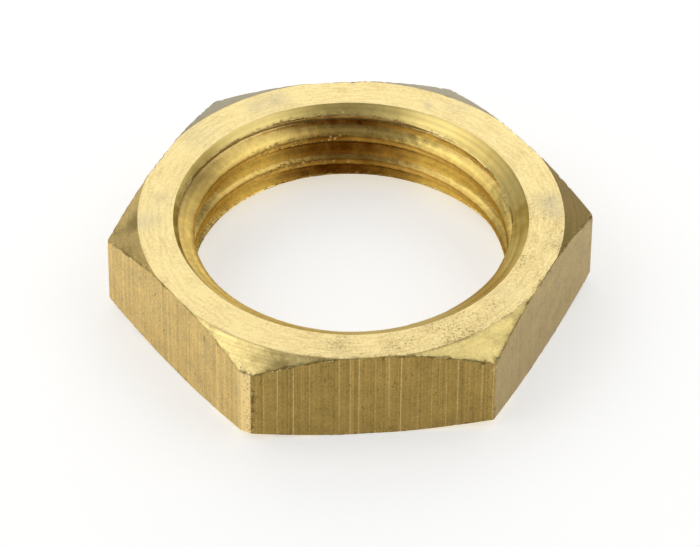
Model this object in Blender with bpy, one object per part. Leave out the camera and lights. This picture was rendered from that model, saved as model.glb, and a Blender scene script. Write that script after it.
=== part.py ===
# Brass back nut for a half-inch parallel pipe thread, turned and tapped from hexagon bar.
# Metres, +Z up. The origin is the middle of the seat face, the bore runs up Z,
# and two of the six corners lie on X.

import math

import bmesh
import bpy
from mathutils import Matrix

MM = 0.001

# Hexagon bar
WALL = 2.2225 * MM                      # from the root of the thread to the middle of a flat
CORNER_RADIUS = 0.3 * MM

# Blank, faced and chamfered in the lathe
THICKNESS = 6.0 * MM
FACE_CIRCLE_OVER = 0.15 * MM            # faced circle over the flats, on the diameter
TOP_CHAMFER_ANGLE = math.radians(29)    # slope down from the top face
SEAT_CHAMFER_ANGLE = math.radians(16)   # slope up from the seat face

# Whitworth-form pipe thread, right-handed
THREAD_MAJOR = 20.955 * MM
THREAD_PITCH = 1.8143 * MM              # fourteen threads to the inch
FLANK_ANGLE = math.radians(55)          # between the two flanks of a groove
DRILL_OVER = 0.1 * MM                   # tapping drill over the basic minor diameter
THREAD_START = math.radians(-25)        # where the middle of a crest meets the seat plane

# Countersinks at both mouths of the bore
COUNTERSINK_ANGLE = math.radians(35)    # slope in from the face
TOP_COUNTERSINK_OVER = 0.35 * MM        # mouth over the thread's major diameter
SEAT_COUNTERSINK_OVER = 1.45 * MM

# How far tools and bar run past what they cut
RUN_OUT = 1.0 * MM
TOOL_CLEARANCE = 0.4 * MM
WELD = 0.001 * MM                       # points nearer than this are one point

# Facets
ROUND_STEPS = 96
THREAD_STEPS = 72
ROOT_STEPS = 4
CORNER_STEPS = 3
ROUND_FILLET = 0.5
SMOOTH_BELOW = math.radians(34)

# Thread sizes that follow from the pitch, as the Whitworth form gives them
SHARP_HEIGHT = THREAD_PITCH / (2 * math.tan(FLANK_ANGLE / 2))
ROOT_RADIUS = (SHARP_HEIGHT / 6) / (1 / math.sin(FLANK_ANGLE / 2) - 1)
THREAD_DEPTH = SHARP_HEIGHT * 2 / 3
BORE_RADIUS = THREAD_MAJOR / 2 - THREAD_DEPTH + DRILL_OVER / 2

# The hexagon, and the radii where the turned surfaces meet the faces
ACROSS_FLATS = THREAD_MAJOR + 2 * WALL  # one inch
CORNER_REACH = ACROSS_FLATS / math.sqrt(3)
FACE_RADIUS = (ACROSS_FLATS + FACE_CIRCLE_OVER) / 2
TOP_MOUTH_RADIUS = (THREAD_MAJOR + TOP_COUNTERSINK_OVER) / 2
SEAT_MOUTH_RADIUS = (THREAD_MAJOR + SEAT_COUNTERSINK_OVER) / 2


def mesh_object(name, bm):
    """Closes the work on a bmesh and puts it in the scene as an object."""
    bmesh.ops.recalc_face_normals(bm, faces=bm.faces)
    mesh = bpy.data.meshes.new(name)
    bm.to_mesh(mesh)
    bm.free()
    body = bpy.data.objects.new(name, mesh)
    bpy.context.collection.objects.link(body)
    return body


def hexagon_bar():
    """A length of drawn bar, longer than the nut, its six long edges rounded."""
    bm = bmesh.new()
    length = THICKNESS + 2 * RUN_OUT
    turn = Matrix.Rotation(math.radians(90), 4, "Z")
    lift = Matrix.Translation((0, 0, THICKNESS / 2))
    bmesh.ops.create_cone(bm, cap_ends=True, segments=6, radius1=CORNER_REACH,
                          radius2=CORNER_REACH, depth=length, matrix=lift @ turn)
    long_edges = [e for e in bm.edges if abs(e.verts[0].co.z - e.verts[1].co.z) > length / 2]
    # A fillet between flats 120 degrees apart starts this far from the corner
    setback = CORNER_RADIUS * math.tan(math.radians(30))
    bmesh.ops.bevel(bm, geom=long_edges, offset=setback, offset_type="OFFSET",
                    segments=CORNER_STEPS, profile=ROUND_FILLET, affect="EDGES")
    return mesh_object("hexagon_bar", bm)


def turned(name, outline):
    """A solid turned about Z from (radius, height) points that start and end on the axis."""
    bm = bmesh.new()
    points = [bm.verts.new((radius, 0, height)) for radius, height in outline]
    edges = [bm.edges.new(pair) for pair in zip(points, points[1:])]
    bmesh.ops.spin(bm, geom=points + edges, cent=(0, 0, 0), axis=(0, 0, 1),
                   angle=math.tau, steps=ROUND_STEPS, use_merge=True)
    bmesh.ops.remove_doubles(bm, verts=bm.verts, dist=WELD)
    return mesh_object(name, bm)


def turned_blank():
    """What the lathe leaves: two flat faces, and a cone from each that takes the corners off."""
    reach = CORNER_REACH + RUN_OUT
    top_drop = (reach - FACE_RADIUS) * math.tan(TOP_CHAMFER_ANGLE)
    seat_rise = (reach - FACE_RADIUS) * math.tan(SEAT_CHAMFER_ANGLE)
    return turned("turned_blank", [
        (0, 0),
        (FACE_RADIUS, 0),
        (reach, seat_rise),
        (reach, THICKNESS - top_drop),
        (FACE_RADIUS, THICKNESS),
        (0, THICKNESS),
    ])


def countersinks():
    """Both mouth cones on one waist that hangs clear inside the bore."""
    slope = math.tan(COUNTERSINK_ANGLE)
    waist = BORE_RADIUS - TOOL_CLEARANCE
    flare = RUN_OUT / slope
    return turned("countersinks", [
        (0, -RUN_OUT),
        (SEAT_MOUTH_RADIUS + flare, -RUN_OUT),
        (waist, (SEAT_MOUTH_RADIUS - waist) * slope),
        (waist, THICKNESS - (TOP_MOUTH_RADIUS - waist) * slope),
        (TOP_MOUTH_RADIUS + flare, THICKNESS + RUN_OUT),
        (0, THICKNESS + RUN_OUT),
    ])


def groove_outline():
    """One pitch of the tap, upwards from the edge of a crest, as (radius, height) points.

    The flanks lean by half the flank angle. The root is an arc tangent to both of them,
    and the crest is the wall of the tapping drill.
    """
    half_flank = FLANK_ANGLE / 2
    middle = THREAD_PITCH / 2
    sharp_root = THREAD_MAJOR / 2 + SHARP_HEIGHT / 6
    half_crest = middle - (sharp_root - BORE_RADIUS) * math.tan(half_flank)
    arc_centre = THREAD_MAJOR / 2 - ROOT_RADIUS
    arc_half = math.pi / 2 - half_flank
    outline = [(BORE_RADIUS, half_crest)]
    for step in range(ROOT_STEPS + 1):
        swing = arc_half * (2 * step / ROOT_STEPS - 1)
        outline.append((arc_centre + ROOT_RADIUS * math.cos(swing),
                        middle + ROOT_RADIUS * math.sin(swing)))
    outline.append((BORE_RADIUS, THREAD_PITCH - half_crest))
    outline.append((BORE_RADIUS, THREAD_PITCH + half_crest))
    return outline


def tap():
    """The tap that leaves the thread: the groove outline carried up a right-hand helix.

    Each turn lands on the last one's edge, so the turns weld into one long screw,
    and its two open ends are closed with fans to the axis, outside the nut.
    """
    bm = bmesh.new()
    turns = math.ceil(THICKNESS / THREAD_PITCH) + 3
    start = -2 * THREAD_PITCH
    points = [bm.verts.new((radius, 0, start + height)) for radius, height in groove_outline()]
    edges = [bm.edges.new(pair) for pair in zip(points, points[1:])]
    bmesh.ops.spin(bm, geom=points + edges, cent=(0, 0, 0), axis=(0, 0, 1),
                   angle=math.tau * turns, steps=THREAD_STEPS * turns,
                   dvec=(0, 0, THREAD_PITCH / THREAD_STEPS))
    bmesh.ops.remove_doubles(bm, verts=bm.verts, dist=WELD)
    rims = [e for e in bm.edges if e.is_boundary]
    ends = bmesh.ops.holes_fill(bm, edges=rims)["faces"]
    for centre in bmesh.ops.poke(bm, faces=ends)["verts"]:
        centre.co.x = centre.co.y = 0
    bmesh.ops.rotate(bm, verts=bm.verts, matrix=Matrix.Rotation(THREAD_START, 3, "Z"))
    return mesh_object("tap", bm)


def machine(work, tool, operation):
    """Adds one machining step to the work, and hides the tool."""
    step = work.modifiers.new(tool.name, "BOOLEAN")
    step.operation = operation
    step.solver = "EXACT"
    step.object = tool
    tool.hide_render = True
    tool.display_type = "WIRE"


def finish_mesh(work):
    """Applies the machining, and shades cones and thread smooth between sharp edges."""
    graph = bpy.context.evaluated_depsgraph_get()
    mesh = bpy.data.meshes.new_from_object(work.evaluated_get(graph))
    tools = [step.object for step in work.modifiers]
    work.modifiers.clear()
    work.data = mesh
    for tool in tools:
        bpy.data.objects.remove(tool)
    mesh.shade_smooth()
    mesh.set_sharp_from_angle(angle=SMOOTH_BELOW)
    for edge in mesh.edges:
        heights = [mesh.vertices[index].co.z for index in edge.vertices]
        if max(heights) < WELD or min(heights) > THICKNESS - WELD:
            edge.use_edge_sharp = True


def drawn_brass():
    """Yellow brass, bright from the tools and a little dull on the bar's own skin."""
    brass = bpy.data.materials.new("free_cutting_brass")
    brass.use_nodes = True
    shader = brass.node_tree.nodes["Principled BSDF"]
    shader.inputs["Base Color"].default_value = (0.62, 0.42, 0.15, 1)
    shader.inputs["Metallic"].default_value = 1.0
    shader.inputs["Roughness"].default_value = 0.34
    return brass


def back_nut():
    """The whole nut, one piece of brass: bar, blank, countersinks, thread."""
    nut = hexagon_bar()
    nut.name = "back_nut"
    machine(nut, turned_blank(), "INTERSECT")
    machine(nut, tap(), "DIFFERENCE")
    machine(nut, countersinks(), "DIFFERENCE")
    finish_mesh(nut)
    nut.data.name = nut.name
    nut.data.materials.clear()
    nut.data.materials.append(drawn_brass())
    return nut


for leftover in list(bpy.data.objects):
    bpy.data.objects.remove(leftover)

back_nut()
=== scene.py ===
# Brass back nut for a half-inch parallel pipe thread: its finished surface, its brass and its light.
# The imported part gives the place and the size. Lengths are in millimetres until they go into Blender.

import math

import bpy
import numpy as np
from mathutils import Matrix, Vector


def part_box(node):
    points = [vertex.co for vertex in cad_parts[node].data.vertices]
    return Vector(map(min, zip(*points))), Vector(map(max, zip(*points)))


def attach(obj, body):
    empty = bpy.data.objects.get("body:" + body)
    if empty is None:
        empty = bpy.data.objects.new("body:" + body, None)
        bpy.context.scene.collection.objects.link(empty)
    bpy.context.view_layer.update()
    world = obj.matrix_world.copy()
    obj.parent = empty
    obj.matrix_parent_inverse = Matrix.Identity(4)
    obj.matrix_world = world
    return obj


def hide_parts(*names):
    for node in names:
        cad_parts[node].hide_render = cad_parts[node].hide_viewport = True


mm = 0.001
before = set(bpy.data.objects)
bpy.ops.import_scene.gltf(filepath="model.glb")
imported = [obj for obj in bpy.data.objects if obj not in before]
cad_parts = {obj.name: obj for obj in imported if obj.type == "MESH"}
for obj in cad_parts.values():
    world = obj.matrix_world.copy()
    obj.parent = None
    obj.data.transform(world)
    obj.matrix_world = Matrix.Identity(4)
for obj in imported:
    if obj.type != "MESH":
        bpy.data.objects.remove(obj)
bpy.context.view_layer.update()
nutLow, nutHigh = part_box("back_nut")
print("frame loaded")


# The nut's shape

nut = {
    "thickness": (nutHigh.z - nutLow.z) / mm,
    "acrossFlats": (nutHigh.y - nutLow.y) / mm,
    "cornerRadii": (0.35, 0.3, 0.3, 0.35, 0.3, 0.15),   # from +X round
    "faceCircle": 0.075,           # the faced circle's radius beyond the middle of a flat
    "chamferAtLeast": 0.05,        # what the chamfer takes where the circle meets a flat
    "topChamfer": 29,              # degrees down from the face
    "seatChamfer": 16,
    "threadMajor": 20.955,
    "threadPitch": 1.8143,
    "flankAngle": 55,
    "drillOver": 0.1,              # tapping drill over the thread's minor diameter
    "threadStart": -25,            # degrees, where the middle of a crest meets the seat plane
    "countersink": 35,             # degrees in from the face
    "topMouthOver": 0.35,          # mouth over the thread's major diameter
    "seatMouthOver": 1.45,
    "edgeEase": 0.06,              # how far each turned edge is eased
    "coneEase": 0.03,              # the same where a countersink cuts the thread
    "crestEase": 0.1,              # the same at a crest's upper corner, and at its sharper lower one
    "crestUnderEase": 0.03,
    "crestEaseBlend": 0.3,         # height over which one ease turns into the other
}

# What follows from them: the countersinks, and the Whitworth form, a sharp triangle with a sixth of its
# height rounded off at the root, and cut off by the drill at the crest
taper = math.tan(math.radians(nut["countersink"]))
topMouth = (nut["threadMajor"] + nut["topMouthOver"]) / 2
seatMouth = (nut["threadMajor"] + nut["seatMouthOver"]) / 2
pitch = nut["threadPitch"]
halfFlank = math.radians(nut["flankAngle"] / 2)
sharpHeight = pitch / (2 * math.tan(halfFlank))
rootRadius = sharpHeight / 6 / (1 / math.sin(halfFlank) - 1)
drillRadius = nut["threadMajor"] / 2 - sharpHeight * 2 / 3 + nut["drillOver"] / 2

grid = {
    "columnsAtCorner": 20,         # columns through each corner of the hexagon
    "columnsAlongFlat": 64,
    "cornerReach": 2.3,            # degrees each side of a corner that the close columns cover
    "straightRows": (1, 9, 8, 12, 5, 5, 1),
    "bendRows": 4,
    "bendAtMost": 0.4,             # share of a straight that the bend at its end may take
    "rootRows": 3,                 # rows over half a pitch of thread, from root to crest
    "flankRows": 8,
    "crestCornerRows": 4,
    "crestRows": 1,
    "crestCornerReach": 1.5,       # in crest eases, each side of a crest's corner
    "spareTurns": 2,               # turns of thread past each mouth, before they are cut off
    "margin": 0.02,                # rows end this near to a mouth, and chamfers start this far down
    "sharpAngle": 60,              # degrees from which an edge is shaded sharp
}

# Wear along the outer edges
edgeWear = {
    "burr": 0.028,                 # ragged lip where the chamfer runs out on a flat
    "burrLength": 0.4,
    "burrWidth": 0.12,
    "seatBurr": 0.2,               # its share at the seat
    "runOutWidth": 0.11,           # dark crumbs along the same edge, and along two of the corners
    "runOutCorners": (241.6, 300.4),
    "cornerSlimmer": 3,            # how many times slimmer they are inwards from a corner
    "circleWidth": 0.09,           # dark crumbs between the face and the chamfers
    "patchLength": 1.6,            # both come in patches: this length, their middle and their swing
    "patchMiddle": 0.6,
    "patchSwing": 0.4,
    "rubbed": 0.03,                # a corner rubbed down by this much is bright
    "strip": {"facing": 238, "distance": 14.44, "leastCosine": 0.9},   # front left corner, rubbed flat
    "knockDown": 0.6,              # how far down a knock pushes, as a share of how far in
}

# Wear inside the bore, and the brown residue and painted shade in its grooves
boreWear = {
    "tear": 0.01,                  # brass torn from the crests by the tap
    "tearLength": 0.4,
    "lipTear": 1.5,                # the same, times this, where a countersink cuts the thread
    "lipWidth": 0.35,
    "chatter": 0.006,              # the tap's chatter across the flanks, its marks standing up
    "chatterLength": 0.6,
    "chatterRise": 0.3,
    "crestReach": 0.35,            # out from the drilled wall, where the marks of a crest end
    "crestCore": 0.375,            # share of that in which a crest has its own colour, painted darker and more orange as a reflection of brass in brass
    "underFade": 0.15,             # height over which a crest's underside starts
    "rootFrom": 0.3,               # out from the drilled wall, where residue and painted shade gather towards the root
    "rootFade": 0.5,
    "rootShare": 0.5,
    "residueAndShadeLeast": 0.62,          # share of the residue and painted shade that is everywhere
    "topTurnFrom": 3.4,            # height from which the thread roughens towards its top turn
    "topTurnFade": 1.4,
}

# Sine waves in each random field
waves = 14

# Knocks: angle round the nut in degrees, radius and height, then width and depth
knocks = (
    (240.9, 14.42, 4.98, 0.12, 0.05),
    (300.6, 14.5, 5.0, 0.16, 0.12),
    (196.1, 13.12, 5.81, 0.14, 0.03),
    (358.9, 14.5, 5.05, 0.16, 0.06),
    (57.3, 12.75, 5.98, 0.16, 0.04),
)

# Grey smudges on the face and olive ones on the chamfers: angle, radius, height, width and strength
smudges = (
    (177.0, 12.2, 6.0, 0.9, 0.8),
    (168.3, 11.55, 6.0, 0.7, 0.5),
    (115.8, 11.75, 6.0, 0.7, 0.7),
    (108.0, 11.85, 6.0, 0.9, 0.8),
    (60.5, 11.4, 6.0, 0.3, 1.0),
    (52.0, 12.3, 6.0, 0.7, 0.5),
    (1.0, 12.0, 6.0, 0.9, 0.9),
    (356.0, 12.4, 6.0, 0.6, 0.6),
    (318.0, 11.6, 6.0, 0.8, 0.4),
    (262.0, 12.2, 6.0, 0.9, 0.15),
    (136.0, 12.1, 6.0, 1.3, 0.4),
    (345.0, 13.4, 5.7, 0.8, 0.9),
    (355.0, 14.0, 5.3, 0.5, 0.9),
    (178.5, 13.0, 5.9, 0.6, 0.8),
)

# Places where the edge has crumbled, in the same way
crumbledSpots = (
    (237.2, 14.15, 5.22, 0.4, 1.2),
    (239.5, 14.4, 5.05, 0.35, 1.3),
    (241.5, 14.45, 4.7, 0.25, 1.0),
    (300.3, 14.5, 4.85, 0.3, 1.4),
    (300.4, 14.5, 4.2, 0.25, 0.7),
    (300.3, 14.5, 1.0, 0.25, 0.6),
    (246.0, 14.0, 5.2, 0.25, 0.8),
    (359.0, 14.4, 5.1, 0.3, 0.7),
    (180.0, 14.3, 5.1, 0.25, 0.5),
)

# How much there is of a thing round the nut, by the angle in degrees
around = {
    # residueAndShade: brown residue in the bore's grooves together with painted shade, heaviest at the back
    "residueAndShade": {0: 0.28, 30: 0.15, 46: 0.0, 58: 0.05, 68: 0.6, 80: 0.95, 96: 0.98, 106: 0.65, 114: 0.1,
                124: 0.0, 136: 0.35, 150: 0.5, 162: 0.3, 176: 0.08, 215: 0.0, 330: 0.1},
    # conePaintedShade: painted shade on the countersinks, a darker reflection laid into their colour, by the
    # angle round
    "conePaintedShade": {0: 0.8, 12: 0.35, 30: 0.5, 42: 0.25, 50: 0.0, 60: 0.0, 70: 0.35, 82: 0.36, 98: 0.42,
                  114: 0.0, 128: 0.1, 142: 0.6, 152: 0.55, 161: 0.4, 172: 0.85, 190: 0.9, 200: 0.5,
                  215: 0.1, 330: 0.1, 350: 0.8},
    "topTurnTorn": {135: 0.0, 160: 0.5, 198: 1.0, 250: 1.0, 275: 0.4, 300: 0.0},
    "coneCrumbs": {0: 0.2, 66: 0.3, 76: 1.2, 108: 1.3, 118: 0.4, 140: 0.4, 150: 1.0, 166: 1.0, 178: 0.3},
    "crestCrumbs": {0: 0.0, 55: 0.0, 62: 0.4, 80: 0.1, 92: 0.9, 104: 1.3, 116: 1.3, 128: 0.1, 140: 0.0},
    "chamferStain": {225: 0.2, 236: 0.3, 241.5: 0.5, 244: 0.9, 249: 0.85, 256: 0.9, 262: 0.8, 268: 0.5,
                     280: 0.1, 295: 0.1, 308: 0.5, 322: 0.8, 330: 0.3, 345: 0.0},
    "circleWear": {20: 0.0, 150: 0.0, 172: 0.4, 190: 0.3, 215: 0.0, 236: 0.1, 246: 0.6, 258: 0.9, 270: 0.5,
                   282: 0.6, 292: 1.0, 320: 1.0, 330: 0.7, 345: 0.3},
    "handled": {35: 0.0, 85: 0.05, 110: 0.3, 135: 0.1, 215: 0.0, 240: 0.1, 262: 0.8, 300: 1.0, 345: 0.8},
}

# Each flat of the bar came off the die with its own skin. By the angle that it faces: a colour, which is
# partly painted light and shade, the front flat darker and the left one lighter, and how strongly the die's
# lines show
flatSkinsAndPaintedLight = {
    30: ("#bea060", 0.8), 90: ("#b19452", 1.0), 150: ("#c9ab68", 0.6),
    210: ("#dcbe76", 0.75), 270: ("#a68b4c", 1.0), 330: ("#b69e65", 0.25),
}

# The chamfers by their corners: a colour, partly painted light and shade with each corner lighter or darker
# as the light falls on it, and how strongly the tool's rings show
chamferSkinsAndPaintedLight = {
    0: ("#947d46", 0.6), 60: ("#a99c76", 0.5), 120: ("#ab9f7a", 0.5),
    180: ("#d4b874", 0.5), 240: ("#ffe69c", 1.3), 300: ("#f4dd92", 0.4),
}


def toLinear(hexColour):
    # sRGB hex to a linear colour with alpha
    channels = np.array([int(hexColour[at:at + 2], 16) for at in (1, 3, 5)]) / 255
    linear = np.where(channels <= 0.04045, channels / 12.92, ((channels + 0.055) / 1.055) ** 2.4)
    return (*linear.tolist(), 1.0)


def ripple(points, wavelength, seed):
    # Smooth random field of about unit size: sine waves of one length in random directions, summed
    rng = np.random.default_rng(seed)
    headings = rng.normal(size=(3, waves))
    headings *= 2 * math.pi / wavelength / np.linalg.norm(headings, axis=0)
    starts = rng.uniform(0, 2 * math.pi, waves)
    return np.sin(points @ headings + starts).sum(axis=-1) * math.sqrt(2 / waves)


def smoothMax(first, second, ease):
    # The larger of two, with the crossing rounded: half their sum plus half the root of
    # their squared difference and the squared ease
    return (first + second + np.sqrt((first - second) ** 2 + ease ** 2)) / 2


def onCircle(radii, angles, heights):
    # Points from radius, angle and height
    return np.stack(np.broadcast_arrays(radii * np.cos(angles), radii * np.sin(angles), heights), axis=-1)


def bell(points, angle, radius, height, width):
    # A bell curve round a place: e to the minus squared distance over squared width
    middle = onCircle(radius, math.radians(angle), height)
    return np.exp(-((points - middle) ** 2).sum(axis=-1) / width ** 2)


def spread(points, spots):
    # Strength at each point: the sum of the spots' bell curves
    return sum(strength * bell(points, *place) for *place, strength in spots)


def byAngle(angles, name):
    # The amount at each angle, in a straight line between those of the table
    amounts = around[name]
    return np.interp(np.degrees(angles), list(amounts), list(amounts.values()), period=360)


def columnAngles():
    # Angles round the nut: in each sixth, close columns through the corner, then even ones along the flat
    sixth, reach = math.tau / 6, math.radians(grid["cornerReach"])
    corner = np.linspace(-reach, reach, grid["columnsAtCorner"])
    flat = np.linspace(reach, sixth - reach, grid["columnsAlongFlat"] + 2)[1:-1]
    return (np.arange(6)[:, None] * sixth + np.concatenate([corner, flat])).ravel()


def barRadius(angles):
    # Distance from the axis to the drawn bar, and the same with sharp corners: half the width over the
    # cosine to the nearest flat, or where that is nearer, the far side of a circle tangent to both
    # flats, or the worn strip's distance over the cosine to its middle
    sixth = math.tau / 6
    nearest = np.round(angles / sixth)
    off = angles - nearest * sixth
    toFlat = sixth / 2 - np.abs(off)
    straight = nut["acrossFlats"] / 2 / np.cos(toFlat)
    radius = np.array(nut["cornerRadii"])[nearest.astype(int) % 6]
    centre = (nut["acrossFlats"] / 2 - radius) / math.cos(sixth / 2)
    inside = np.clip(radius ** 2 - (centre * np.sin(off)) ** 2, 0, None)
    rounded = centre * np.cos(off) + np.sqrt(inside)
    tangent = np.arctan2(radius * math.sin(sixth / 2), centre + radius * math.cos(sixth / 2))
    bar = np.where(np.abs(off) < tangent, rounded, straight)
    strip = edgeWear["strip"]
    facing = np.cos(angles - math.radians(strip["facing"]))
    return np.minimum(bar, strip["distance"] / np.maximum(facing, strip["leastCosine"])), straight


def easedProfile(radii, heights, ease):
    # Rows of a profile for every column at once: each straight is shared out by a cosine, closer
    # together at its ends, and each inner corner is a quadratic curve between its two straights
    corners = np.stack([radii, heights], axis=-1)
    legs = np.diff(corners, axis=0)
    lengths = np.linalg.norm(legs, axis=-1, keepdims=True)
    headings = legs / lengths
    half = grid["bendRows"] // 2
    bend = np.linspace(0, 1, grid["bendRows"] + 1)[1:-1, None, None]
    rows, zones = [corners[:1]], []
    start = corners[0]
    for leg, count in enumerate(grid["straightRows"]):
        last = leg == len(legs) - 1
        shorter = lengths[leg] if last else np.minimum(lengths[leg], lengths[leg + 1])
        reach = 0 if last else np.minimum(ease, grid["bendAtMost"] * shorter)
        end = corners[leg + 1] - headings[leg] * reach
        share = (1 - np.cos(np.linspace(0, math.pi, count + 1)))[1:, None, None] / 2
        rows.append(start + (end - start) * share)
        zones += [leg] * count
        if not last:
            start = corners[leg + 1] + headings[leg + 1] * reach
            rows.append(end * (1 - bend) ** 2 + corners[leg + 1] * 2 * bend * (1 - bend) + start * bend ** 2)
            rows.append(start[None])
            zones += [leg] * half + [leg + 1] * (grid["bendRows"] - half)
    rows = np.concatenate(rows)
    return rows[..., 0], rows[..., 1], np.array(zones)


def knocked(points):
    # Each knock pushes the surface in towards the axis and down, most in its middle, by a bell curve
    for *place, depth in knocks:
        push = onCircle(1, math.radians(place[0]), edgeWear["knockDown"]) * depth
        points = points - bell(points, *place)[..., None] * push
    return points


def topTurnTorn(angles, heights):
    # How rough the top turn of the thread is: by the angle, and fading out evenly below it
    rise = (heights - boreWear["topTurnFrom"]) / boreWear["topTurnFade"]
    return byAngle(angles, "topTurnTorn") * np.clip(rise, 0, 1)


def outerShell(angles):
    # The turned and drawn outside, from the top mouth out over the face, the chamfer and the flat
    # to the seat mouth: an eased profile whose corners follow the bar's own radius at each angle
    thickness, lip = nut["thickness"], nut["edgeEase"]
    bar, sharpBar = barRadius(angles)
    face = np.minimum(nut["acrossFlats"] / 2 + nut["faceCircle"], bar - nut["chamferAtLeast"])
    fallen = (bar - face) * math.tan(math.radians(nut["topChamfer"]))
    risen = (bar - face) * math.tan(math.radians(nut["seatChamfer"]))
    level = np.zeros_like(angles)
    radii = np.stack([level + topMouth - lip, level + topMouth, face, bar, bar, face,
                      level + seatMouth, level + seatMouth - lip])
    heights = np.stack([level + thickness - lip * taper, level + thickness, level + thickness,
                        thickness - fallen, risen, level, level, level + lip * taper])
    circle, topEdge, seatEdge = zip(radii[2:5], heights[2:5])
    radii, heights, zones = easedProfile(radii, heights, lip)

    toEdge = np.min([np.hypot(radii - r, heights - z) for r, z in (topEdge, seatEdge)], axis=0)
    rag = ripple(onCircle(radii, angles, heights), edgeWear["burrLength"], seed=3) * edgeWear["burr"]
    rag *= np.exp(-(toEdge / edgeWear["burrWidth"]) ** 2)
    rag *= np.where(heights > thickness / 2, 1, edgeWear["seatBurr"])
    points = onCircle(radii - np.abs(rag), angles, np.clip(heights + rag, 0, thickness))

    for angle in edgeWear["runOutCorners"]:
        alongside = np.abs(angles - math.radians(angle)) * bar
        toEdge = np.minimum(toEdge, np.hypot(alongside, (bar - radii) * edgeWear["cornerSlimmer"]))
    toCircle = np.hypot(radii - circle[0], heights - circle[1])
    patchy = ripple(points, edgeWear["patchLength"], seed=4)
    patchy = edgeWear["patchMiddle"] + edgeWear["patchSwing"] * patchy
    marks = {
        "runOut": np.clip(np.exp(-(toEdge / edgeWear["runOutWidth"]) ** 2) * patchy, 0, 1),
        "circleWear": np.clip(np.exp(-(toCircle / edgeWear["circleWidth"]) ** 2) * patchy, 0, 1)
        * byAngle(angles, "circleWear"),
        "crumbled": np.clip(spread(points, crumbledSpots), 0, 1),
        "cornerWear": np.clip((sharpBar - bar) / edgeWear["rubbed"], 0, 1),
    }
    points = knocked(points)
    onChamfer = points[..., 2] < thickness - grid["margin"]
    marks["smudge"] = spread(points, smudges) + onChamfer * byAngle(angles, "chamferStain")
    marks["handled"] = byAngle(angles, "handled")
    marks["mouthCut"] = 1.0
    # Painted shade on the countersinks, by the angle round
    marks["conePaintedShade"] = byAngle(angles, "conePaintedShade")
    marks["topTurnTorn"] = topTurnTorn(angles, points[..., 2])
    return points, zones, marks


def threadRadius(offsets):
    # Whitworth form at a distance along the axis from the middle of a crest: a root arc and straight
    # flanks, or the drilled wall where that is further out, with the crest's two corners eased
    aboveCrest = (offsets + pitch / 2) % pitch - pitch / 2
    fromRoot = pitch / 2 - np.abs(aboveCrest)
    major = nut["threadMajor"] / 2
    arc = major - rootRadius + np.sqrt(np.clip(rootRadius ** 2 - fromRoot ** 2, 0, None))
    flank = major + sharpHeight / 6 - fromRoot / math.tan(halfFlank)
    groove = np.where(fromRoot < rootRadius * math.cos(halfFlank), arc, flank)
    upper = np.clip(0.5 + aboveCrest / nut["crestEaseBlend"], 0, 1)
    ease = nut["crestUnderEase"] + (nut["crestEase"] - nut["crestUnderEase"]) * upper
    return smoothMax(groove, drillRadius, ease)


def pitchOffsets():
    # Heights over one pitch from the middle of a root, close together at the crest's two corners
    rootHalf = rootRadius * math.cos(halfFlank)
    corner = (sharpHeight * 5 / 6 - nut["drillOver"] / 2) * math.tan(halfFlank)
    near = nut["crestEase"] * grid["crestCornerReach"]
    stops = (0, rootHalf, corner - near, corner + near, pitch / 2)
    counts = (grid["rootRows"], grid["flankRows"], grid["crestCornerRows"], grid["crestRows"])
    rise = np.concatenate([np.linspace(a, b, n, endpoint=False) for a, b, n in zip(stops, stops[1:], counts)])
    return np.concatenate([rise, pitch - np.append(rise[1:], pitch / 2)[::-1]])


def boreSurface(angles):
    # The tapped bore: rows climb with the helix, so each runs along one line of the thread, and the
    # radius is the larger of the thread and the two countersinks at that height, then torn and chattered
    thickness, spare = nut["thickness"], grid["spareTurns"]
    turns = np.arange(-spare, math.ceil(thickness / pitch) + spare)
    offsets = (pitchOffsets() + pitch / 2 + turns[:, None] * pitch).ravel()[:, None]
    heights = offsets + (angles - math.radians(nut["threadStart"])) / math.tau * pitch
    thread = threadRadius(offsets)
    cones = np.maximum(topMouth - (thickness - heights) / taper, seatMouth - heights / taper)
    radii = smoothMax(thread, cones, nut["coneEase"])
    points = onCircle(radii, angles, heights)

    cut = np.clip((cones - thread) / nut["coneEase"], 0, 1)
    nearCrest = np.clip(1 - (radii - drillRadius) / boreWear["crestReach"], 0, 1) * (1 - cut)
    lip = np.exp(-((cones - thread) / boreWear["lipWidth"]) ** 2) * byAngle(angles, "coneCrumbs")
    tear = np.clip(ripple(points, boreWear["tearLength"], seed=7), 0, None) * boreWear["tear"]
    standing = points * (1, 1, boreWear["chatterRise"])
    chatter = ripple(standing, boreWear["chatterLength"], seed=8) * boreWear["chatter"]
    radii = radii + tear * np.maximum(nearCrest ** 2, lip * boreWear["lipTear"]) + chatter * (1 - cut)

    under = np.clip((offsets % pitch - pitch / 2) / boreWear["underFade"], 0, 1) * (1 - cut)
    crest = np.clip((nearCrest - boreWear["crestCore"]) / (1 - boreWear["crestCore"]), 0, 1)
    rootSide = np.clip((radii - drillRadius - boreWear["rootFrom"]) / boreWear["rootFade"], 0, 1)
    # The residue mark is brown residue and painted shade: on the crests' undersides, towards the roots and on
    # the crests, and by the angle round the bore
    most = np.maximum(np.maximum(under, rootSide * boreWear["rootShare"]), crest)
    least = boreWear["residueAndShadeLeast"]
    marks = {
        "mouthCut": cut,
        # Painted shade on the countersinks, by the angle round
        "conePaintedShade": cut * byAngle(angles, "conePaintedShade"),
        "residueAndShade": (least + (1 - least) * most) * byAngle(angles, "residueAndShade") * (1 - cut),
        "crumbled": np.maximum(lip, nearCrest ** 2 * byAngle(angles, "crestCrumbs")),
        "underside": under,
        "crest": crest,
        "topTurnTorn": topTurnTorn(angles, heights),
    }
    return onCircle(radii, angles, heights), marks


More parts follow.
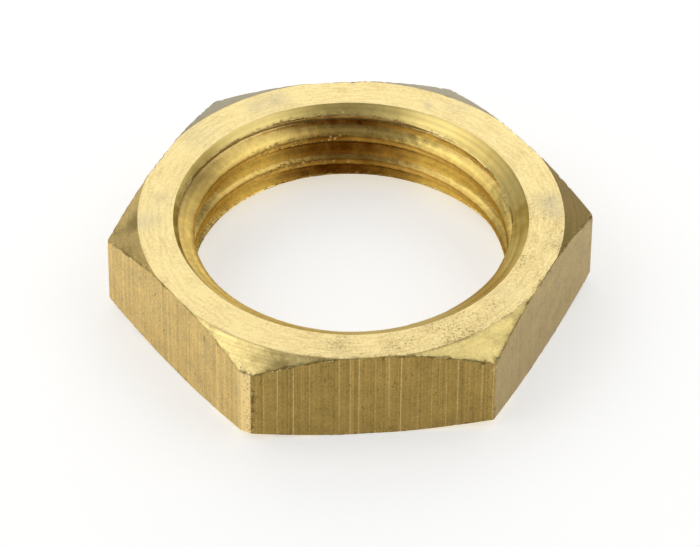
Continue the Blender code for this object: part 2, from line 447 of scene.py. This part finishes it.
def boreNumbers(heights, topRing, seatRing, firstIndex):
    # Numbers the bore's points. Points past a mouth become that mouth's ring point of the same column,
    # and the last column is the first one, a pitch further up
    near = nut["edgeEase"] * taper + grid["margin"]
    above = heights > nut["thickness"] - near
    below = heights < near
    own = ~(above | below)
    numbers = np.where(above, topRing, np.where(below, seatRing, 0))
    numbers[own] = firstIndex + np.arange(own.sum())
    perPitch = len(pitchOffsets())
    wrapped = np.concatenate([numbers[perPitch:, 0], np.full(perPitch, topRing[0])])
    return np.concatenate([numbers, wrapped[:, None]], axis=1), own


def quads(numbers):
    # Corner numbers of each cell of a grid, wound so that the cells face out
    cells = np.stack([numbers[:-1, :-1], numbers[1:, :-1], numbers[1:, 1:], numbers[:-1, 1:]], axis=-1)
    return cells.reshape(-1, 4)


def boreFaces(numbers):
    # The bore's cells. One that a mouth cuts to three corners is a triangle, and one cut to two is left out
    cells = quads(numbers)
    shutLeft, shutRight = cells[:, 0] == cells[:, 1], cells[:, 2] == cells[:, 3]
    whole = cells[~shutLeft & ~shutRight].tolist()
    return whole + cells[shutLeft & ~shutRight][:, 1:].tolist() + cells[~shutLeft & shutRight][:, :3].tolist()


def skinColours(angles, rows, skinsAndPaintedLight):
    # The colour, with its painted light and shade, and line strength, as alpha, of the skin nearest to each
    # column
    first, step = min(skinsAndPaintedLight), 360 // len(skinsAndPaintedLight)
    nearest = np.round((np.degrees(angles) - first) / step).astype(int) % len(skinsAndPaintedLight) * step + first
    chosen = np.array([(*toLinear(skinsAndPaintedLight[angle][0])[:3], skinsAndPaintedLight[angle][1]) for angle in nearest])
    return np.broadcast_to(chosen, (rows, len(angles), 4)).reshape(-1, 4)


def makeNut(materials):
    # One closed surface: the outer shell and the bore share the two rings of points at the mouths
    angles = columnAngles()
    shell, zones, marks = outerShell(angles)
    bore, boreMarks = boreSurface(angles)
    rows, columns = shell.shape[:2]
    shellNumbers = np.arange(rows * columns).reshape(rows, columns)
    numbers, own = boreNumbers(bore[..., 2], shellNumbers[0], shellNumbers[-1], rows * columns)
    shellCells = quads(np.concatenate([shellNumbers, shellNumbers[:, :1]], axis=1)).tolist()
    boreCells = boreFaces(numbers)
    points = np.concatenate([shell.reshape(-1, 3), bore[own]]) * mm
    points[:, 2] += nutLow.z
    mesh = bpy.data.meshes.new("brass_nut")
    mesh.from_pydata(points.tolist(), [], shellCells + boreCells)

    # Marks for the finishes, nought where a side has none
    for name in {**marks, **boreMarks}:
        outside = np.broadcast_to(marks.get(name, 0.0), (rows, columns)).ravel()
        inside = np.broadcast_to(boreMarks.get(name, 0.0), own.shape)[own]
        mark = mesh.attributes.new(name, "FLOAT", "POINT")
        mark.data.foreach_set("value", np.concatenate([outside, inside]).astype(np.float32))
    for name, skinsAndPaintedLight in (("flatSkinAndPaintedLight", flatSkinsAndPaintedLight), ("chamferSkinAndPaintedLight", chamferSkinsAndPaintedLight)):
        colours = np.concatenate([skinColours(angles, rows, skinsAndPaintedLight), np.ones((own.sum(), 4))])
        skinAndPaintedLight = mesh.attributes.new(name, "FLOAT_COLOR", "POINT")
        skinAndPaintedLight.data.foreach_set("color", colours.ravel().astype(np.float32))

    # A finish for each straight of the outer profile, and for the bore
    for material in materials.values():
        mesh.materials.append(material)
    slotOf = {name: slot for slot, name in enumerate(materials)}
    finishes = ("bore", "face", "chamfer", "flat", "chamfer", "face", "bore")
    shellSlots = np.array([slotOf[name] for name in finishes])[zones]
    slots = np.concatenate([np.repeat(shellSlots, columns), np.full(len(boreCells), slotOf["bore"])])
    mesh.polygons.foreach_set("material_index", slots)
    mesh.update()
    mesh.shade_smooth()
    mesh.set_sharp_from_angle(angle=math.radians(grid["sharpAngle"]))
    body = bpy.data.objects.new("brass_nut", mesh)
    bpy.context.scene.collection.objects.link(body)
    print("nut made:", len(points), "points,", len(mesh.polygons), "faces")
    return body


# Brass finishes

# The middle of a noise, and what the noise of a grain mostly spans
noiseMiddle = 0.5
grainSpan = (0.3, 0.7)


def addNode(tree, kind, inputs=(), output=0, **settings):
    # Adds a node and gives one of its outputs, or with None all of them. Settings go on the node. Inputs
    # are values or other nodes' outputs, in the order of the sockets, or by their names or numbers
    node = tree.nodes.new("ShaderNode" + kind)
    for name, value in settings.items():
        setattr(node, name, value)
    for socket, value in inputs.items() if isinstance(inputs, dict) else enumerate(inputs):
        if isinstance(value, bpy.types.NodeSocket):
            tree.links.new(value, node.inputs[socket])
        else:
            node.inputs[socket].default_value = value
    return node.outputs if output is None else node.outputs[output]


def weighted(tree, base, *parts):
    # The base plus each part times its weight
    for part, weight in parts:
        base = addNode(tree, "Math", [part, weight, base], operation="MULTIPLY_ADD")
    return base


def layered(tree, colour, *layers):
    # The colour with others laid over it one by one, each as strongly as its mask. A Mix node takes its
    # two colours at sockets 6 and 7, and gives the mixed one at output 2
    for mask, over in layers:
        first, second = (toLinear(side) if isinstance(side, str) else side for side in (colour, over))
        colour = addNode(tree, "Mix", {0: mask, 6: first, 7: second}, 2, data_type="RGBA")
    return colour


def perSize(size):
    # A pattern's scale: one over the size of its grains, which is in millimetres
    return 1 / (size * mm)


def fromAxis(tree, place):
    # The place with its height taken out, and the length of that, which is the distance from the axis
    level = addNode(tree, "VectorMath", [place, (1, 1, 0)], operation="MULTIPLY")
    return level, addNode(tree, "VectorMath", [level], "Value", operation="LENGTH")


def makePatterns(tree, place, patterns):
    # A noise for each pattern, in their order. An even one takes the place over its width. An upright
    # one takes x and y over its width and z over its length. A round one takes x and y over its length,
    # and for z the distance from the axis over its width
    noises = []
    for run, width, length, detail, roughness in patterns.values():
        where, scale = place, perSize(width)
        if run == "upright":
            where = addNode(tree, "Mapping", {"Vector": place, "Scale": (scale, scale, perSize(length))})
        if run == "round":
            level, radius = fromAxis(tree, place)
            across = addNode(tree, "Math", [radius, scale], operation="MULTIPLY")
            lift = addNode(tree, "CombineXYZ", {2: across})
            along = addNode(tree, "VectorMath", {0: level, "Scale": perSize(length)}, operation="SCALE")
            where = addNode(tree, "VectorMath", [along, lift], operation="ADD")
        noises.append(addNode(tree, "TexNoise", {"Vector": where, "Scale": scale if run == "even" else 1.0,
                                                 "Detail": detail, "Roughness": roughness}))
    return noises


crumbForm = {
    "ragSize": 0.6,                # of the noise that makes the grains ragged, as a share of their spacing
    "ragDetail": 2.0,
    "ragPush": 1.6,                # how far it pushes, in the same share
    "edge": (0.2, 0.5, 1.0, 0.0),  # a grain's mask from its core to its rim
    "toneCurve": 1.1,
}


def crumbs(tree, place, colour, where, look, *lifts):
    # Torn grains over a colour, where a mask says: the middles of random cells, of which a share is
    # kept, each with its own tone between dark and bright, which the lifts raise. A finer noise pushes
    # the cells' place about, so that each grain is ragged. Gives the colour and the grains' mask
    spacing = look["crumb"]
    rag = addNode(tree, "TexNoise", {"Vector": place, "Scale": perSize(spacing * crumbForm["ragSize"]),
                                     "Detail": crumbForm["ragDetail"]}, "Color")
    rag = addNode(tree, "VectorMath", [rag, (noiseMiddle,) * 3], operation="SUBTRACT")
    push = (spacing * crumbForm["ragPush"] * mm,) * 3
    pushed = addNode(tree, "VectorMath", [rag, push, place], operation="MULTIPLY_ADD")
    cells = addNode(tree, "TexVoronoi", {"Vector": pushed, "Scale": perSize(spacing)}, None)
    lots = addNode(tree, "SeparateColor", [cells["Color"]], None)
    middles = addNode(tree, "MapRange", [cells["Distance"], *crumbForm["edge"]])
    kept = addNode(tree, "Math", [lots[0], look["crumbShare"]], operation="LESS_THAN")
    grains = addNode(tree, "Math", [middles, kept], operation="MULTIPLY")
    grains = addNode(tree, "Math", [grains, where], operation="MULTIPLY")
    tone = addNode(tree, "Math", [lots[1], crumbForm["toneCurve"]], operation="POWER")
    tone = weighted(tree, tone, *lifts)
    mixed = layered(tree, look["crumbDark"], (tone, look["crumbBright"]))
    return layered(tree, colour, (grains, mixed)), grains


def newBrass(name):
    # A metal with default IOR: its tree, its shader and its place
    material = bpy.data.materials.new(name)
    material.use_nodes = True
    tree = material.node_tree
    shader = tree.nodes["Principled BSDF"]
    shader.inputs["Metallic"].default_value = 1.0
    return material, tree, shader, addNode(tree, "TexCoord", output="Object")


def finish(tree, shader, colour, grain, look, height):
    # Joins a finish up. Its roughness goes evenly from one end to the other as the grain goes over its
    # span, and its bumps are the height times what they stand up in millimetres
    rough = addNode(tree, "MapRange", [grain, *grainSpan, *look["roughness"]])
    bump = addNode(tree, "Bump", {"Height": height, "Distance": look["bumpHeight"] * mm})
    for socket, value in (("Base Color", colour), ("Roughness", rough), ("Normal", bump)):
        tree.links.new(value, shader.inputs[socket])


# A pattern has its run, the width and the length of its grains, its detail and its roughness. A range
# gives what it takes in and what it makes of that, from 0 to 1 where it says no more

faced = {
    "bright": "#ffe9a7", "dull": "#e2c989", "grey": "#cbbf9f", "fleck": "#a08148",
    "patterns": {
        "grain": ("even", 0.2, 0.2, 3.0, 0.65),      # torn grain of a quick facing cut
        "cloud": ("even", 1.8, 1.8, 2.0, 0.5),
        "flecks": ("even", 0.13, 0.13, 4.0, 0.75),
        "marks": ("round", 0.16, 1.1, 2.0, 0.5),     # arcs left by the facing tool
    },
    "cloudDulls": 0.6,             # weights of what makes the face dull
    "handlingDulls": 0.12,
    "dulled": (1.15, 1.8),
    "cloudFlecks": 0.22,           # weights of what makes it flecked
    "handlingFlecks": 0.12,
    "circleFlecks": 0.2,
    "flecked": (0.8, 0.88, 0.0, 0.7),
    "roughness": (0.28, 0.42),
    "bumpHeight": 0.014,
}


def facedBrass():
    # Faced in the lathe: creamy and bright, with short turning marks and a sandy grain, brown flecks in
    # drifts on the side that was handled and along the chamfers, and a few grey smudges
    material, tree, shader, place = newBrass("facedBrass")
    grain, cloud, flecks, marks = makePatterns(tree, place, faced["patterns"])
    worn, smudge, circle = (addNode(tree, "Attribute", output="Fac", attribute_name=name)
                            for name in ("handled", "smudge", "circleWear"))
    dulled = addNode(tree, "Math", [marks, grain], operation="ADD")
    dulled = weighted(tree, dulled, (cloud, faced["cloudDulls"]), (worn, faced["handlingDulls"]))
    dulled = addNode(tree, "MapRange", [dulled, *faced["dulled"]])
    smudged = addNode(tree, "Math", [smudge, cloud], operation="MULTIPLY")
    drift = weighted(tree, flecks, (cloud, faced["cloudFlecks"]), (worn, faced["handlingFlecks"]),
                     (circle, faced["circleFlecks"]))
    fleck = addNode(tree, "MapRange", [drift, *faced["flecked"]])
    colour = layered(tree, faced["bright"], (dulled, faced["dull"]), (smudged, faced["grey"]),
                     (fleck, faced["fleck"]))
    height = addNode(tree, "Math", [grain, fleck], operation="SUBTRACT")
    finish(tree, shader, colour, grain, faced, height)
    return material


turnedCone = {
    "stain": "#94804a", "crumbBright": "#fff4bc", "crumbDark": "#4a3614", "crumbShade": "#8a7038",
    "patterns": {
        "rings": ("round", 0.16, 3.5, 2.0, 0.5),     # the tool's feed, drawn a little coarse
        "grain": ("even", 0.14, 0.14, 3.0, 0.65),
        "blotches": ("even", 1.1, 1.1, 3.0, 0.6),
    },
    "lineShade": (0.25, 0.75, 0.74, 1.18),
    "edgeStains": 0.2,             # weights of what stains
    "smudgeStains": 0.4,
    "stained": (0.58, 1.0, 0.0, 0.85),
    "shadedByCrumbs": 0.5,
    "crumb": 0.17,
    "crumbShare": 0.6,
    "spotLift": 0.2,               # how much brighter the crumbs of a crumbled spot are
    "crumbHeight": 0.7,
    "roughness": (0.3, 0.42),
    "bumpHeight": 0.01,
}


def turnedBrass():
    # Chamfered with a form tool: fine rings round the axis and a torn grain, each corner with its own colour,
    # partly painted light and shade, olive stain, and dark and bright crumbs where the cone runs out on the
    # flats and the face
    material, tree, shader, place = newBrass("turnedBrass")
    rings, grain, blotches = makePatterns(tree, place, turnedCone["patterns"])
    skinAndPaintedLight = addNode(tree, "Attribute", output=None, attribute_name="chamferSkinAndPaintedLight")
    edge, smudge, spot, circle = (addNode(tree, "Attribute", output="Fac", attribute_name=name)
                                  for name in ("runOut", "smudge", "crumbled", "circleWear"))
    lined = addNode(tree, "Math", [rings, noiseMiddle], operation="SUBTRACT")
    lined = weighted(tree, grain, (lined, skinAndPaintedLight["Alpha"]))
    shade = addNode(tree, "MapRange", [lined, *turnedCone["lineShade"]])
    # The skin colour carries painted light and shade, each chamfer lighter or darker as the light falls on it
    colour = addNode(tree, "VectorMath", {0: skinAndPaintedLight["Color"], "Scale": shade}, operation="SCALE")
    stained = weighted(tree, blotches, (edge, turnedCone["edgeStains"]), (smudge, turnedCone["smudgeStains"]))
    stained = addNode(tree, "MapRange", [stained, *turnedCone["stained"]])
    shaded = addNode(tree, "Math", [edge, circle], operation="MAXIMUM")
    shaded = addNode(tree, "Math", [shaded, turnedCone["shadedByCrumbs"]], operation="MULTIPLY")
    colour = layered(tree, colour, (stained, turnedCone["stain"]), (shaded, turnedCone["crumbShade"]))
    where = addNode(tree, "Math", [edge, spot], operation="MAXIMUM")
    where = addNode(tree, "Math", [where, circle], operation="MAXIMUM")
    colour, grains = crumbs(tree, place, colour, where, turnedCone, (spot, turnedCone["spotLift"]))
    height = weighted(tree, lined, (grains, turnedCone["crumbHeight"]))
    finish(tree, shader, colour, grain, turnedCone, height)
    return material


drawn = {
    "worn": "#fddf9c", "hairline": "#f0dca0", "speck": "#6e5629",
    "crumbBright": "#ffe8a8", "crumbDark": "#4a3716",
    "patterns": {
        "streaks": ("upright", 0.24, 22.0, 2.0, 0.5),        # the die's lines, coarse and fine
        "fineStreaks": ("upright", 0.09, 22.0, 2.0, 0.5),
        "hairlinePath": ("upright", 0.9, 300.0, 0.0, 0.5),   # hairlines run where it crosses its middle
        "specks": ("upright", 0.3, 0.6, 4.0, 0.7),
        "grain": ("even", 0.13, 0.13, 3.0, 0.7),
        "patches": ("even", 1.3, 1.3, 3.0, 0.6),
    },
    "grainShades": 0.8,            # weights of what shades, besides the lines
    "patchShades": 0.7,
    "shade": (0.75, 1.75, 0.62, 1.38),
    "hairlineWidth": (0.0, 0.022, 1.15, 0.0),
    "hairlinePicked": (0.45, 0.6),
    "edgeSpecks": 0.2,
    "specked": (0.62, 0.7, 0.0, 0.75),
    "bared": (0.33, 0.48),
    "crumb": 0.16,
    "crumbShare": 0.6,
    "wearCrumbs": 0.4,
    "spotLift": 0.6,
    "fineHeight": 0.5,
    "roughness": (0.36, 0.52),
    "bumpHeight": 0.03,
}


def drawnBrass():
    # The bar's own drawn skin: dull and a little brown, each flat lighter or darker by painted light and
    # shade, with long lines from the die, a few bright hairlines, dark specks, cleaner metal where the
    # corners are worn, and crumbs along their edges
    material, tree, shader, place = newBrass("drawnBrass")
    streaks, fine, wander, specks, grain, patches = makePatterns(tree, place, drawn["patterns"])
    skinAndPaintedLight = addNode(tree, "Attribute", output=None, attribute_name="flatSkinAndPaintedLight")
    edge, wear, spot = (addNode(tree, "Attribute", output="Fac", attribute_name=name)
                        for name in ("runOut", "cornerWear", "crumbled"))
    lined = addNode(tree, "Math", [streaks, fine], operation="ADD")
    lined = addNode(tree, "Math", [lined, 2 * noiseMiddle], operation="SUBTRACT")
    lined = weighted(tree, grain, (lined, skinAndPaintedLight["Alpha"]), (grain, drawn["grainShades"]),
                     (patches, drawn["patchShades"]))
    shade = addNode(tree, "MapRange", [lined, *drawn["shade"]])
    # The skin colour carries painted light and shade, each flat lighter or darker as the light falls on it
    colour = addNode(tree, "VectorMath", {0: skinAndPaintedLight["Color"], "Scale": shade}, operation="SCALE")

    crossing = addNode(tree, "Math", [wander, noiseMiddle], operation="SUBTRACT")
    crossing = addNode(tree, "Math", [crossing], operation="ABSOLUTE")
    hairline = addNode(tree, "MapRange", [crossing, *drawn["hairlineWidth"]])
    picked = addNode(tree, "MapRange", [streaks, *drawn["hairlinePicked"]])
    for part in (picked, skinAndPaintedLight["Alpha"], grain):
        hairline = addNode(tree, "Math", [hairline, part], operation="MULTIPLY")
    specks = weighted(tree, specks, (edge, drawn["edgeSpecks"]))
    specked = addNode(tree, "MapRange", [specks, *drawn["specked"]])
    bared = addNode(tree, "Math", [wear, grain], operation="MULTIPLY")
    bared = addNode(tree, "MapRange", [bared, *drawn["bared"]])
    colour = layered(tree, colour, (hairline, drawn["hairline"]), (specked, drawn["speck"]),
                     (bared, drawn["worn"]))

    where = addNode(tree, "Math", [edge, spot], operation="MAXIMUM")
    where = addNode(tree, "Math", [wear, drawn["wearCrumbs"], where], operation="MULTIPLY_ADD",
                    use_clamp=True)
    colour, grains = crumbs(tree, place, colour, where, drawn, (spot, drawn["spotLift"]))
    height = weighted(tree, grain, (fine, drawn["fineHeight"]))
    finish(tree, shader, colour, grain, drawn, height)
    return material


tapped = {
    # The crest is painted darker and more orange and the underside paler, as painted reflections of brass in
    # brass; the root is painted darker as shade
    "thread": "#f1d37b", "root": "#e4c67c", "underside": "#f9e8b4", "crest": "#dbb056",
    # conePaintedShade is painted shade on the countersinks; residueAndShade is brown residue with painted
    # shade
    "cone": "#f4dc8c", "conePaintedShade": "#94762a", "residueAndShade": "#80581c",
    "grazing": "#cbb482", "paleGrazing": "#f4ebcc",   # tints of what is seen at a low angle
    "crumbBright": "#ffe290", "crumbDark": "#9a7230",
    "patterns": {
        "lines": ("round", 0.22, 9.0, 0.5, 0.5),     # left along the flanks by the tap, drawn coarser
        "chatter": ("upright", 0.4, 3.0, 2.0, 0.5),  # marks across the thread
        "grain": ("even", 0.2, 0.2, 2.0, 0.5),
        "blotches": ("even", 0.9, 0.9, 1.5, 0.5),
    },
    "uneven": (0.3, 0.6, 0.75, 1.05),
    "rootPaintedShade": (9.9 * mm, 10.45 * mm),   # painted shade towards the root, by the distance from the axis
    "grainShades": 0.2,
    "chatterShades": (0.0, 1.0, 0.8, 0.2),   # from the thread to the cone
    "shade": (0.3, 0.9, 0.8, 1.2),
    "crumb": 0.27,
    "crumbShare": 0.65,
    "grainRougher": 0.3,
    "coneRougher": 0.12,
    "crestRougher": 0.3,
    "tornRougher": 0.4,
    "leastRougher": 0.2,
    "lineHeight": 2.0,
    "crumbHeight": 12.0,
    "roughness": (0.22, 0.5),
    "bumpHeight": 0.005,
}


def tappedBrass():
    # Tapped thread and countersink: brighter and smoother than the bar, with lines along the flanks,
    # chatter across them, brown residue with painted shade in the grooves, heaviest at the back, painted
    # shade on the cone, the roots painted darker, the crests painted darker and more orange and their
    # undersides paler as painted reflections, a rough and paler top turn, and crumbs on the crests and
    # where the cone cuts the thread
    material, tree, shader, place = newBrass("tappedBrass")
    lines, chatter, grain, blotches = makePatterns(tree, place, tapped["patterns"])
    cone, topTurn, under, crest, stain, residueAndShade, torn = (
        addNode(tree, "Attribute", output="Fac", attribute_name=name) for name in
        ("mouthCut", "topTurnTorn", "underside", "crest", "conePaintedShade", "residueAndShade", "crumbled"))
    uneven = addNode(tree, "MapRange", [blotches, *tapped["uneven"]])
    # Here stain is the countersinks' painted shade, not a stain; both it and the residue with painted shade
    # are made uneven
    stain, residueAndShade, torn = (addNode(tree, "Math", [amount, uneven], operation="MULTIPLY", use_clamp=True)
                            for amount in (stain, residueAndShade, torn))
    # Darker towards the thread's root: painted shade
    rootSide = addNode(tree, "MapRange", [fromAxis(tree, place)[1], *tapped["rootPaintedShade"]])
    # Layers of painted light: the root darker, the undersides paler, the crests darker and more orange, then
    # the cone's painted shade and the residue with painted shade
    colour = layered(tree, tapped["thread"], (rootSide, tapped["root"]), (cone, tapped["cone"]),
                     (under, tapped["underside"]), (crest, tapped["crest"]), (stain, tapped["conePaintedShade"]),
                     (residueAndShade, tapped["residueAndShade"]))

    lit = weighted(tree, lines, (grain, tapped["grainShades"]))
    across = addNode(tree, "MapRange", [cone, *tapped["chatterShades"]])
    swing = addNode(tree, "Math", [chatter, noiseMiddle], operation="SUBTRACT")
    lit = weighted(tree, lit, (swing, across))
    shade = addNode(tree, "MapRange", [lit, *tapped["shade"]])
    colour = addNode(tree, "VectorMath", {0: colour, "Scale": shade}, operation="SCALE")
    colour, grains = crumbs(tree, place, colour, torn, tapped)

    pale = addNode(tree, "Math", [cone, topTurn], operation="MAXIMUM")
    edgeTint = layered(tree, tapped["grazing"], (pale, tapped["paleGrazing"]))
    tree.links.new(edgeTint, shader.inputs["Specular Tint"])
    softer = weighted(tree, tapped["leastRougher"], (grain, tapped["grainRougher"]),
                      (cone, tapped["coneRougher"]), (crest, tapped["crestRougher"]),
                      (topTurn, tapped["tornRougher"]))
    height = weighted(tree, chatter, (lines, tapped["lineHeight"]), (grains, tapped["crumbHeight"]))
    finish(tree, shader, colour, softer, tapped, height)
    return material


materials = {"face": facedBrass(), "chamfer": turnedBrass(), "flat": drawnBrass(), "bore": tappedBrass()}
print("brass finishes made")

nutPiece = makeNut(materials)
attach(nutPiece, "root")
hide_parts("back_nut")


# Studio

studio = {
    "floorColour": "#dededc",
    "floorRoughness": 0.9,
    "floorSize": 1600,
    "floorGlow": 0.51,             # what cameras and reflections see on top, so that the sheet is white
    "worldColour": "#ffffff",
    "worldStrength": 0.2,
}

# Each lamp's azimuth and elevation from the nut, its distance, its size and its radiance: azimuth is 0
# in front and 180 behind, and radiance 1 is white
lamps = {
    "leftSoftbox": (272, 47, 400, (420, 365), 1.12),
    "rightSoftbox": (86, 52, 400, (360, 320), 0.95),
    "backSoftbox": (180, 36, 400, (460, 300), 0.95),
    "lowLeftReflector": (216, 14, 430, (330, 150), 0.5),
    "overheadReflector": (0, 90, 430, (230, 230), 0.12),
    "frontReflector": (-5, 14, 430, (360, 120), 0.4),
    "lowRightReflector": (142, 18, 430, (330, 170), 0.8),
}

camera = {
    "lens": 244.6,
    "sensor": 36,
    "distance": 286.5,
    "azimuth": -5.362,
    "elevation": 41.3,
    "roll": 0.494,
    "aside": 0.048,                # how far the nut's middle stands right of and above the picture's middle
    "above": 1.219,
    "nearest": 10,                 # what is nearer or farther isn't drawn
    "farthest": 10000,
}


def standingBack(azimuth, elevation):
    # Unit vector from the nut to something at that azimuth and elevation, azimuth 0 in front
    a, e = math.radians(azimuth), math.radians(elevation)
    return Vector((math.sin(a) * math.cos(e), -math.cos(a) * math.cos(e), math.sin(e)))


def mattPaper():
    # Dull pale paper with an even glow on top, which only cameras, reflections and what looks through
    # glass can see
    material = bpy.data.materials.new("mattPaper")
    material.use_nodes = True
    tree = material.node_tree
    shader = tree.nodes["Principled BSDF"]
    shader.inputs["Base Color"].default_value = toLinear(studio["floorColour"])
    shader.inputs["Roughness"].default_value = studio["floorRoughness"]
    shader.inputs["Specular IOR Level"].default_value = 0.0
    path = addNode(tree, "LightPath", output=None)
    seen = path["Is Camera Ray"]
    for kind in ("Is Glossy Ray", "Is Transmission Ray"):
        seen = addNode(tree, "Math", [seen, path[kind]], operation="MAXIMUM")
    glow = addNode(tree, "Math", [seen, studio["floorGlow"]], operation="MULTIPLY")
    light = addNode(tree, "Emission", {"Color": (1, 1, 1, 1), "Strength": glow})
    both = addNode(tree, "AddShader", [shader.outputs[0], light])
    tree.links.new(both, tree.nodes["Material Output"].inputs["Surface"])
    return material


def makeFloor():
    # A wide square sheet under the nut
    half = studio["floorSize"] / 2 * mm
    corners = [(x * half, y * half, nutLow.z) for x, y in ((-1, -1), (1, -1), (1, 1), (-1, 1))]
    mesh = bpy.data.meshes.new("floor")
    mesh.from_pydata(corners, [], [(0, 1, 2, 3)])
    mesh.materials.append(mattPaper())
    floor = bpy.data.objects.new("floor", mesh)
    bpy.context.scene.collection.objects.link(floor)


def makeLamps(target):
    # Soft boxes facing the nut. A lamp's power is its radiance times its area times pi
    for name, (azimuth, elevation, distance, size, radiance) in lamps.items():
        light = bpy.data.lights.new(name, "AREA")
        light.shape = "RECTANGLE"
        light.size, light.size_y = (side * mm for side in size)
        light.energy = radiance * light.size * light.size_y * math.pi
        lamp = bpy.data.objects.new(name, light)
        away = standingBack(azimuth, elevation)
        lamp.location = target + away * distance * mm
        lamp.rotation_mode = "QUATERNION"
        lamp.rotation_quaternion = away.to_track_quat("Z", "Y")
        bpy.context.scene.collection.objects.link(lamp)


def makeWorld():
    # Even dim light from all round
    world = bpy.data.worlds.new("studioWorld")
    world.use_nodes = True
    background = world.node_tree.nodes["Background"]
    background.inputs["Color"].default_value = toLinear(studio["worldColour"])
    background.inputs["Strength"].default_value = studio["worldStrength"]
    bpy.context.scene.world = world


def makeCamera(target):
    # Stands at the photograph's angle, rolled a little, and aimed beside the nut's middle
    back = standingBack(camera["azimuth"], camera["elevation"])
    turn, roll = math.radians(camera["azimuth"]), math.radians(camera["roll"])
    level = Vector((math.cos(turn), math.sin(turn), 0))
    rise = back.cross(level)
    right = level * math.cos(roll) + rise * math.sin(roll)
    up = rise * math.cos(roll) - level * math.sin(roll)
    place = target + (back * camera["distance"] - right * camera["aside"] - up * camera["above"]) * mm
    lens = bpy.data.cameras.new("camera")
    lens.lens = camera["lens"]
    lens.sensor_width = camera["sensor"]
    lens.clip_start = camera["nearest"] * mm
    lens.clip_end = camera["farthest"] * mm
    seat = bpy.data.objects.new("camera", lens)
    seat.matrix_world = Matrix.Translation(place) @ Matrix((right, up, back)).transposed().to_4x4()
    bpy.context.scene.collection.objects.link(seat)
    bpy.context.scene.camera = seat


middle = (nutLow + nutHigh) / 2
makeFloor()
makeLamps(middle)
makeWorld()
makeCamera(middle)
bpy.context.scene.view_settings.view_transform = "Standard"
print("studio set up")
